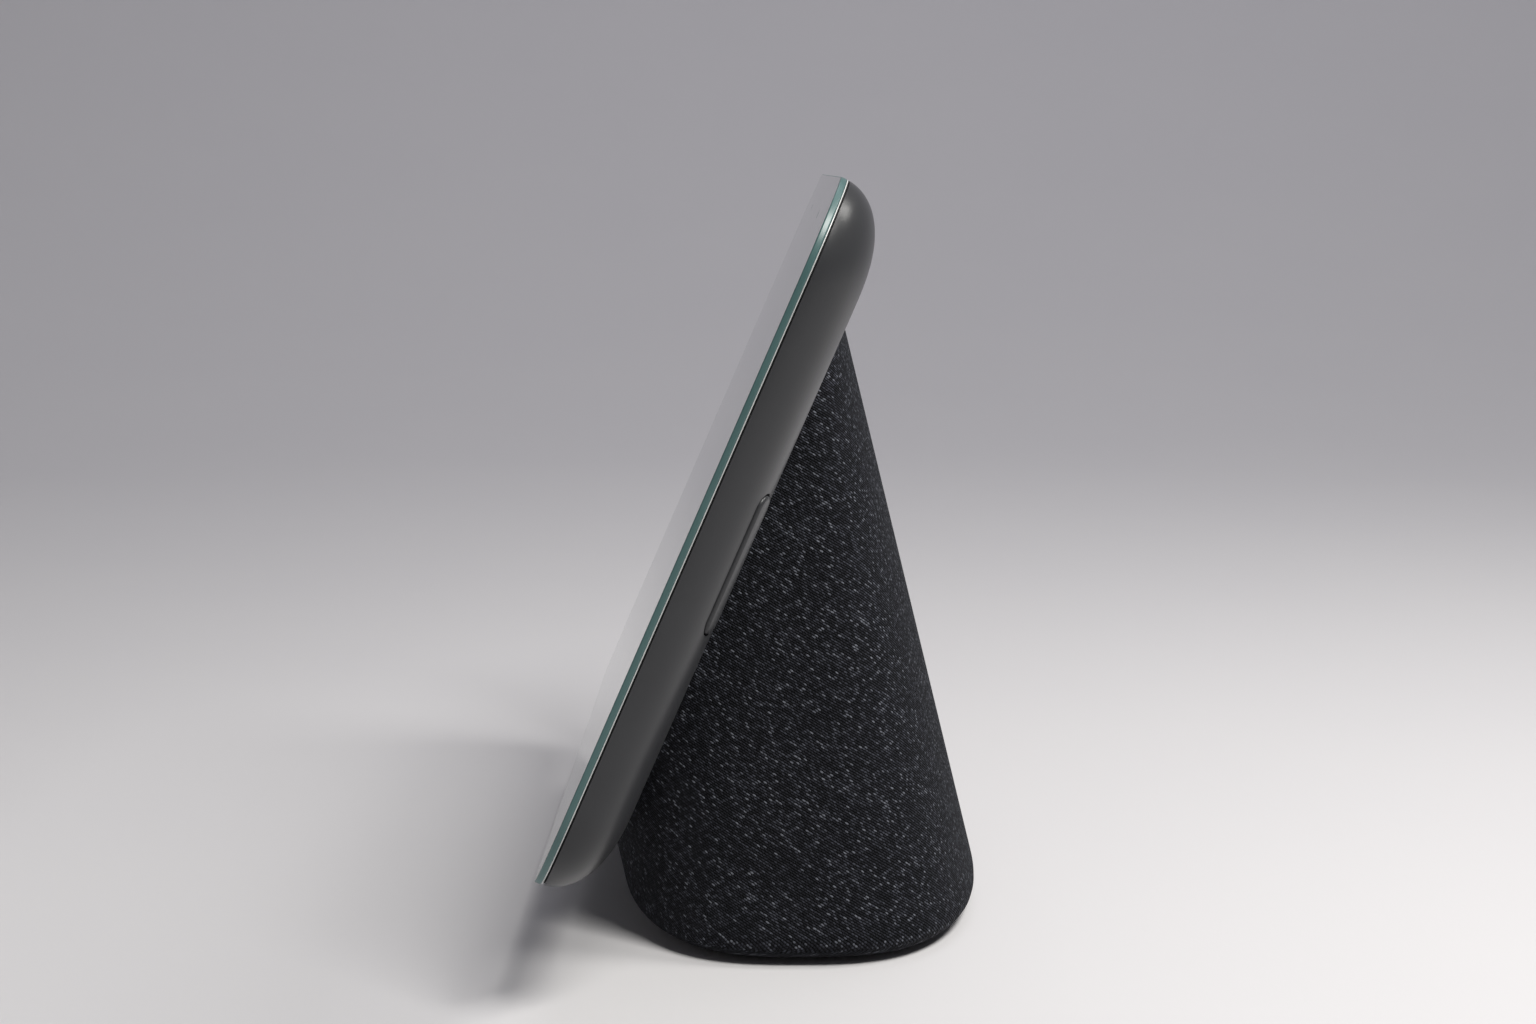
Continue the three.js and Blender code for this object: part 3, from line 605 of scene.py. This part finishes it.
# Melange polyester knit: charcoal with pale flecks, a dry nap that lightens at a low angle.
KNIT = material("charcoal_melange_knit", knit_feeds)

# ---- Giving each piece its look ----

CAD_FINISHES = {
    PANEL: ("lcd_cell", "light_sensor"),
    DIFFUSER: ("backlight_unit",),
    STEEL: (
        "display_midframe", "shield_can_left", "shield_can_right", "mic_left", "mic_right",
        "board_screw_1", "board_screw_2", "board_screw_3", "neck_screw_1", "neck_screw_2",
        "neck_screw_3", "neck_screw_4", "plate_screw_1", "plate_screw_2", "plate_screw_3",
        "driver_screw_1", "driver_screw_2", "driver_screw_3", "driver_screw_4",
        "volume_switch_up", "volume_switch_down", "mute_switch", "base_weight",
        "driver_basket", "driver_top_plate", "driver_yoke", "inlet_pin",
    ),
    ALUMINIUM: ("heat_spreader",),
    POLYIMIDE: ("display_flex", "antenna_left", "antenna_right"),
    BOARD: ("main_board", "sensor_board", "volume_board", "power_board"),
    ORANGE: ("mute_mark",),
    FRAME_BLACK: ("base_frame", "speaker_baffle", "inlet_socket"),
    FERRITE: ("driver_magnet",),
    PAPER: ("driver_cone", "driver_dust_cap"),
    COPPER: ("driver_voice_coil",),
    RUBBER: ("driver_surround", "driver_gasket", "head_cable"),
    SPIDER_CLOTH: ("driver_spider",),
}


def finish_cad_nodes():
    for finish, names in CAD_FINISHES.items():
        for name in names:
            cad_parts[name].material_slots[0].material = finish


def fit(piece, node, finishes, body="housing"):
    """Gives a finished piece its look, and puts it in place of the plain CAD node."""
    for finish in finishes:
        piece.data.materials.append(finish)
    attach(piece, body)
    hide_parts(node)


# ---- Head ----

def head_outline(inset):
    half_width, half_height = HEAD_WIDTH / 2 - inset, HEAD_HEIGHT / 2 - inset
    return rounded_rect(half_width, half_height, HEAD_CORNER - inset, CORNER_STEPS)


def front_glass():
    glass = rounded_slab(
        "front_glass", head_outline, -GLASS_THICKNESS, 0.0, GLASS_ARRIS, HEAD
    )
    mic_holes = [
        round_post(MIC_HOLE_RADIUS, -2 * MM, MM, HEAD, side * MIC_X, BROW) for side in (-1, 1)
    ]
    combine(glass, mic_holes, "DIFFERENCE")
    into_head = HEAD.inverted().to_3x3()
    for face in glass.data.polygons:
        is_flat = abs((into_head @ face.normal).z) > 0.9
        face.material_index = 0 if is_flat else 1
    glass.visible_shadow = False  # clear glass lets the light through to the print
    fit(smoothed(glass), "cover_glass", (GLASS_FACE, GLASS_EDGE))


def bezel():
    """The white print behind the glass, open over the screen, the microphones and the sensor."""
    back, front = (-depth for depth in PRINT_DEPTHS)
    bezel_print = prism("white_bezel", head_outline(PRINT_SIDE), back, front, HEAD)
    openings = (-2 * MM, -0.5 * MM)
    window = rounded_rect(WINDOW[0] / 2, WINDOW[1] / 2, WINDOW_CORNER, 10)
    cutters = [prism("window", window, *openings, HEAD)]
    for side in (-1, 1):
        cutters.append(round_post(PRINT_HOLE_RADIUS, *openings, HEAD, side * MIC_X, BROW))
    cutters.append(round_post(SENSOR_HOLE_RADIUS, *openings, HEAD, 0, BROW))
    combine(bezel_print, cutters, "DIFFERENCE")
    fit(smoothed(bezel_print), "bezel_print", (PRINT,))


def gasket():
    """Foam ring between the glass and the housing, seen as a black line."""
    far, near = (-depth for depth in GASKET_DEPTHS)
    outer, inner = (head_outline(side) for side in GASKET_SIDES)
    rings = [
        at_height(outer, far), at_height(outer, near), at_height(inner, near), at_height(inner, far)
    ]
    ring = lofted("glass_gasket", rings, HEAD, closed_round=True)
    fit(smoothed(ring), "screen_gasket", (RUBBER,))


def cushion_rings(inset, levels):
    """Rings of the housing's cushion shape, from its flat back up to its open front."""
    rounding, depth = EDGE_ROUNDING - inset, HEAD_DEPTH - inset
    front_angle = math.asin((SHELL_FRONT / depth) ** (EDGE_POWER / 2))
    rings = []
    for i in range(levels + 1):
        angle = math.pi / 2 + (front_angle - math.pi / 2) * i / levels
        side = inset + rounding * (1 - max(0.0, math.cos(angle)) ** (2 / EDGE_POWER))
        outline = rounded_rect(
            HEAD_WIDTH / 2 - side, HEAD_HEIGHT / 2 - side, HEAD_CORNER - side, SHELL_CORNER_STEPS
        )
        outline = with_side_points(outline, SHELL_CORNER_STEPS, SHELL_SIDE_STEPS)
        rings.append(at_height(outline, -depth * math.sin(angle) ** (2 / EDGE_POWER)))
    return rings


def housing_shell():
    outer = cushion_rings(0.0, 34)
    inner = cushion_rings(SHELL_WALL, 16)
    shell = lofted("housing_shell", outer + inner[::-1], HEAD)
    deep, shallow = (-depth for depth in BACK_OPENINGS)
    slot_levels = [(0.0, height) for height in SLOT_CUT]
    mute_slot_half_length = KNOB_HALF_LENGTH + MUTE_TRAVEL / 2 + KNOB_GAP
    cutters = [
        pill(
            "rocker_slot", KEY_HALF_LENGTH + KEY_GAP, KEY_HALF_WIDTH + KEY_GAP, slot_levels, ROCKER
        ),
        pill(
            "mute_slot", mute_slot_half_length, KNOB_HALF_WIDTH + KNOB_GAP, slot_levels, MUTE,
            lengthways=False,
        ),
        round_post(CABLE_HOLE_RADIUS, deep, shallow, HEAD, *CABLE_HOLE),
    ]
    for x, y in NECK_SCREWS:
        cutters.append(round_post(NECK_HOLE_RADIUS, deep, shallow, HEAD, x * MM, y * MM))
    combine(shell, cutters, "DIFFERENCE")
    fit(smoothed(shell, 25), "rear_shell", (HOUSING,))


def volume_key():
    """A slim key with a shallow crown, and a plunger behind each end."""
    levels = crowned_levels(-1.5 * MM, 0.36 * MM, 0.5 * MM, 0.09 * MM, KEY_HALF_WIDTH)
    key = pill("volume_key", KEY_HALF_LENGTH, KEY_HALF_WIDTH, levels, ROCKER)
    plungers = [
        round_post(0.8 * MM, -2.0 * MM, -1.4 * MM, ROCKER, 0, side * PLUNGER_Y, 24)
        for side in (-1, 1)
    ]
    combine(key, plungers, "UNION")
    fit(smoothed(key), "volume_rocker", (HOUSING,), "volume_key")


def mute_switch():
    """Slide knob with five finger grooves, on a plate that keeps it in the housing."""
    rest = MUTE @ Matrix.Translation((-MUTE_TRAVEL / 2, 0, 0))
    levels = crowned_levels(-2.2 * MM, 0.24 * MM, 0.35 * MM, 0.06 * MM, KNOB_HALF_WIDTH)
    knob = pill("mute_knob", KNOB_HALF_LENGTH, KNOB_HALF_WIDTH, levels, rest, lengthways=False)
    plate = rounded_rect(7.7 * MM, 2.3 * MM, 0.6 * MM, 6)
    blade = rounded_rect(1.2 * MM, 0.8 * MM, 0.2 * MM, 4)
    combine(knob, [prism("plate", plate, -2.75 * MM, -2.15 * MM, rest)], "UNION")
    combine(knob, [prism("blade", blade, -3.3 * MM, -2.7 * MM, rest)], "UNION")
    grooves = []
    for i in range(-2, 3):
        groove = rounded_rect(0.16 * MM, 0.95 * MM, 0.15 * MM, 4, x=i * GROOVE_PITCH)
        grooves.append(prism("groove", groove, 0.12 * MM, MM, rest))
    combine(knob, grooves, "DIFFERENCE")
    fit(smoothed(knob), "mute_slider", (HOUSING,), "mute_slide")


# ---- Base ----

def unit_oval(count=160, fine_steps=4000):
    """The base's oval from the middle of its back, as shares of its half width and half depth.
    The points are evenly spaced along the real outline."""
    angles = np.linspace(math.pi / 2, math.pi / 2 + 2 * math.pi, fine_steps + 1)
    c, s = np.cos(angles), np.sin(angles)
    x = np.sign(c) * np.abs(c) ** (2 / BASE_POWER)
    y = np.sign(s) * np.abs(s) ** (2 / BASE_POWER)
    steps = np.hypot(BASE_HALF_WIDTH * np.diff(x), BASE_HALF_DEPTH * np.diff(y))
    walked = np.concatenate([[0], np.cumsum(steps)])
    wanted = np.linspace(0, walked[-1], count, endpoint=False)
    return np.interp(wanted, walked, x), np.interp(wanted, walked, y)


def oval_ring(half_width, half_depth, z):
    x, y = unit_oval()
    return [(half_width * px, BASE_CENTRE_Y + half_depth * py, z) for px, py in zip(x, y)]


def fillet_at(z):
    below = np.clip((FILLET_TOP - z) / FILLET_HEIGHT, 0, 1)
    return FILLET_INSET * (1 - np.sqrt(1 - below**2))


def column_points(unit_x, unit_y, z, inset=0.0):
    """Points on the base, which leans in at the sides and the rear and forwards at the front."""
    shrink = fillet_at(z) + inset
    rise = z - FILLET_TOP
    half_width = BASE_HALF_WIDTH - SIDE_SLOPE * rise - shrink
    rear = BASE_HALF_DEPTH - REAR_SLOPE * rise - shrink
    front = BASE_HALF_DEPTH + FRONT_LEAN * rise - shrink
    y = BASE_CENTRE_Y + np.where(unit_y < 0, front, rear) * unit_y
    return np.stack([half_width * unit_x, y, z + 0 * unit_x], 1)


def cloth_tops(unit_y):
    """How high the cloth reaches at each column: up to the plane just behind the housing."""
    into_head = HEAD.inverted()

    def depths(z):
        points = column_points(0 * unit_y, unit_y, z)
        return np.array([-(into_head @ Vector(point)).z for point in points])

    low, high = depths(FILLET_TOP), depths(SKY)
    return FILLET_TOP + (COLUMN_FRONT_DEPTH - low) * (SKY - FILLET_TOP) / (high - low)


def sleeve():
    """The knit cover: one cloth round the base, joined by a seam hidden in front, under the screen."""
    unit_x, unit_y = unit_oval(SLEEVE_COLUMNS)
    tops = cloth_tops(unit_y)

    def row(heights, inset):
        return column_points(unit_x, unit_y, heights, inset)

    reach = tops - HEM[0][0] * MM - BASE_BOTTOM
    shares = np.linspace(0, 1, SLEEVE_ROWS) ** ROW_CROWDING
    rings = [row(BASE_BOTTOM + reach * share, 0.0) for share in shares]
    rings += [row(tops - drop * MM, inset * MM) for drop, inset in HEM[1:]]
    lining = [BASE_BOTTOM + (tops - BASE_BOTTOM) * share for share in shares[::-5]]
    lining.append(BASE_BOTTOM + 0 * tops)
    rings += [row(heights, SLEEVE_THICKNESS) for heights in lining]
    cloth = lofted("knit_sleeve", rings, closed_round=True)
    lay_out_cloth(cloth, rings, unit_x, unit_y)
    return cloth


def walk_round(unit_x, unit_y, heights):
    """How far round the base each column is from the first, at each height; last is all the way."""
    walked = np.zeros((len(heights), len(unit_x) + 1))
    for level, z in enumerate(heights):
        ring = column_points(unit_x, unit_y, z)
        steps = np.diff(ring, axis=0, append=ring[:1])
        walked[level, 1:] = np.cumsum(np.hypot(steps[:, 0], steps[:, 1]))
    return walked


def lay_out_cloth(cloth, rings, unit_x, unit_y):
    """Cloth coordinates in metres: along the course from the middle of the back, and up."""
    count = len(unit_x)
    heights = np.linspace(BASE_BOTTOM, SKY, 60)
    walked = walk_round(unit_x, unit_y, heights)
    ring_heights = np.array([ring[:, 2] for ring in rings])
    across = np.stack(
        [np.interp(ring_heights[:, k % count], heights, walked[:, k]) for k in range(count + 1)], 1
    )
    round_it = np.interp(ring_heights, heights, walked[:, -1])
    layer = cloth.data.uv_layers.new(name="cloth")
    for face in cloth.data.polygons:
        corners = [cloth.data.loops[k].vertex_index for k in face.loop_indices]
        columns = [corner % count for corner in corners]
        if max(columns) - min(columns) > 1:
            columns = [column or count for column in columns]
        past_seam = max(columns) > count // 2
        for k, corner, column in zip(face.loop_indices, corners, columns):
            level, place = corner // count, column % count
            u = across[level, column] - (round_it[level, place] if past_seam else 0.0)
            layer.data[k].uv = (u, ring_heights[level, place])


def knit_cover():
    cloth = sleeve()
    combine(cloth, [round_post(JACK_HOLE_RADIUS, -12 * MM, 3 * MM, JACK)], "DIFFERENCE")
    fit(smoothed(cloth, 50), "fabric_sleeve", (KNIT,))


def bottom_plate():
    """Follows the base's rounded foot, with a recess for the pad and three sunk screws."""
    unit_x, unit_y = unit_oval()
    rings = [column_points(unit_x, unit_y, z * MM, PLATE_INSET) for z in PLATE_LEVELS]
    plate = lofted("bottom_plate", rings)
    low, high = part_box("foot_pad")
    half_width = (high.x - low.x) / 2 + FOOT_GAP
    half_depth = (high.y - low.y) / 2 + FOOT_GAP
    recess = [oval_ring(half_width, half_depth, z * MM) for z in (0.0, FOOT_RECESS_TOP)]
    cutters = [lofted("recess", recess)]
    for name in ("plate_screw_1", "plate_screw_2", "plate_screw_3"):
        low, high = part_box(name)
        x, y = (low.x + high.x) / 2, (low.y + high.y) / 2
        cutters.append(round_post(SCREW_HOLE_RADIUS, MM, 5 * MM, IN_PLACE, x, y, 32))
        cutters.append(round_post(SCREW_HEAD_RADIUS, MM, SCREW_HEAD_TOP, IN_PLACE, x, y, 32))
    combine(plate, cutters, "DIFFERENCE")
    fit(smoothed(plate), "base_plate", (FRAME_BLACK,))


def foot():
    low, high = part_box("foot_pad")
    half_width, half_depth = (high.x - low.x) / 2, (high.y - low.y) / 2
    rings = [
        oval_ring(half_width - inset * MM, half_depth - inset * MM, z * MM)
        for inset, z in FOOT_PROFILE
    ]
    fit(smoothed(lofted("silicone_foot", rings)), "foot_pad", (SILICONE,))


def inlet_ring():
    """A turned collar, just below the cloth's surface, with softened lips."""
    rings = [at_height(circle(radius * MM, 96), height * MM) for radius, height in JACK_PROFILE]
    ring = lofted("inlet_ring", rings, JACK, closed_round=True)
    fit(smoothed(ring), "inlet_collar", (FRAME_BLACK,))


# ---- Studio ----

def sweep():
    """A pale paper floor that curves up into a wall all round."""
    profile = [(0.02, 0.0), (0.2, 0.0), (0.4, 0.0), (FLOOR_FLAT, 0.0)]
    for i in range(1, SWEEP_STEPS + 1):
        angle = math.pi / 2 * i / SWEEP_STEPS
        out = FLOOR_FLAT + SWEEP_RADIUS * math.sin(angle)
        profile.append((out, SWEEP_RADIUS * (1 - math.cos(angle))))
    profile.append((FLOOR_FLAT + SWEEP_RADIUS, SWEEP_TOP))
    rings = [at_height(circle(radius, 96), z) for radius, z in profile]
    paper = lofted("paper_sweep", rings, top=False)
    paper.data.shade_smooth()
    paper.data.materials.append(BACKDROP)


def soft_lamp(name, place, aim, size, power, tint):
    lamp = bpy.data.lights.new(name, "AREA")
    lamp.shape = "RECTANGLE"
    lamp.size, lamp.size_y = size
    lamp.energy = power
    lamp.color = linear(tint)[:3]
    holder = bpy.data.objects.new(name, lamp)
    holder.location = place
    holder.rotation_mode = "QUATERNION"
    holder.rotation_quaternion = (Vector(aim) - Vector(place)).to_track_quat("-Z", "Y")
    holder.visible_camera = False
    bpy.context.scene.collection.objects.link(holder)


def lights():
    """A large lamp above and behind the right-hand edge, a smaller one that lifts the housing's
    rounded edge, and one that lights the wall."""
    soft_lamp(
        "overhead_softbox", (0.3, 0.25, 0.6), (0.05, 0.0, 0.03), (0.24, 0.2), 3.95, "#fffdf9"
    )
    soft_lamp("rear_softbox", (0.0, 0.36, 0.5), (0.05, 0.0, 0.1), (0.16, 0.16), 1.1, "#fffdf9")
    soft_lamp(
        "backdrop_softbox", (-0.75, 0.1, 1.2), (-1.0, 0.1, 0.0), (0.8, 0.8), 4.4, "#f4f2fa"
    )
    world = bpy.data.worlds.new("studio_air")
    world.use_nodes = True
    air = world.node_tree.nodes["Background"]
    air.inputs["Color"].default_value = linear("#c9cbd2")
    air.inputs["Strength"].default_value = 0.15
    bpy.context.scene.world = world
    bpy.context.scene.view_settings.view_transform = "Standard"


def camera():
    """From the right-hand side, a little above the top of the screen."""
    facing = Vector(
        (
            -math.cos(CAMERA_YAW) * math.cos(CAMERA_PITCH),
            math.sin(CAMERA_YAW) * math.cos(CAMERA_PITCH),
            -math.sin(CAMERA_PITCH),
        )
    )
    lens = bpy.data.cameras.new("camera")
    lens.lens = CAMERA_LENS
    lens.sensor_width = 36
    lens.clip_start, lens.clip_end = 0.01, 20
    holder = bpy.data.objects.new("camera", lens)
    holder.location = CAMERA_PLACE
    holder.rotation_mode = "QUATERNION"
    holder.rotation_quaternion = facing.to_track_quat("-Z", "Y")
    bpy.context.scene.collection.objects.link(holder)
    bpy.context.scene.camera = holder


camera()
sweep()
lights()
finish_cad_nodes()
front_glass()
bezel()
gasket()
housing_shell()
volume_key()
mute_switch()
knit_cover()
bottom_plate()
foot()
inlet_ring()
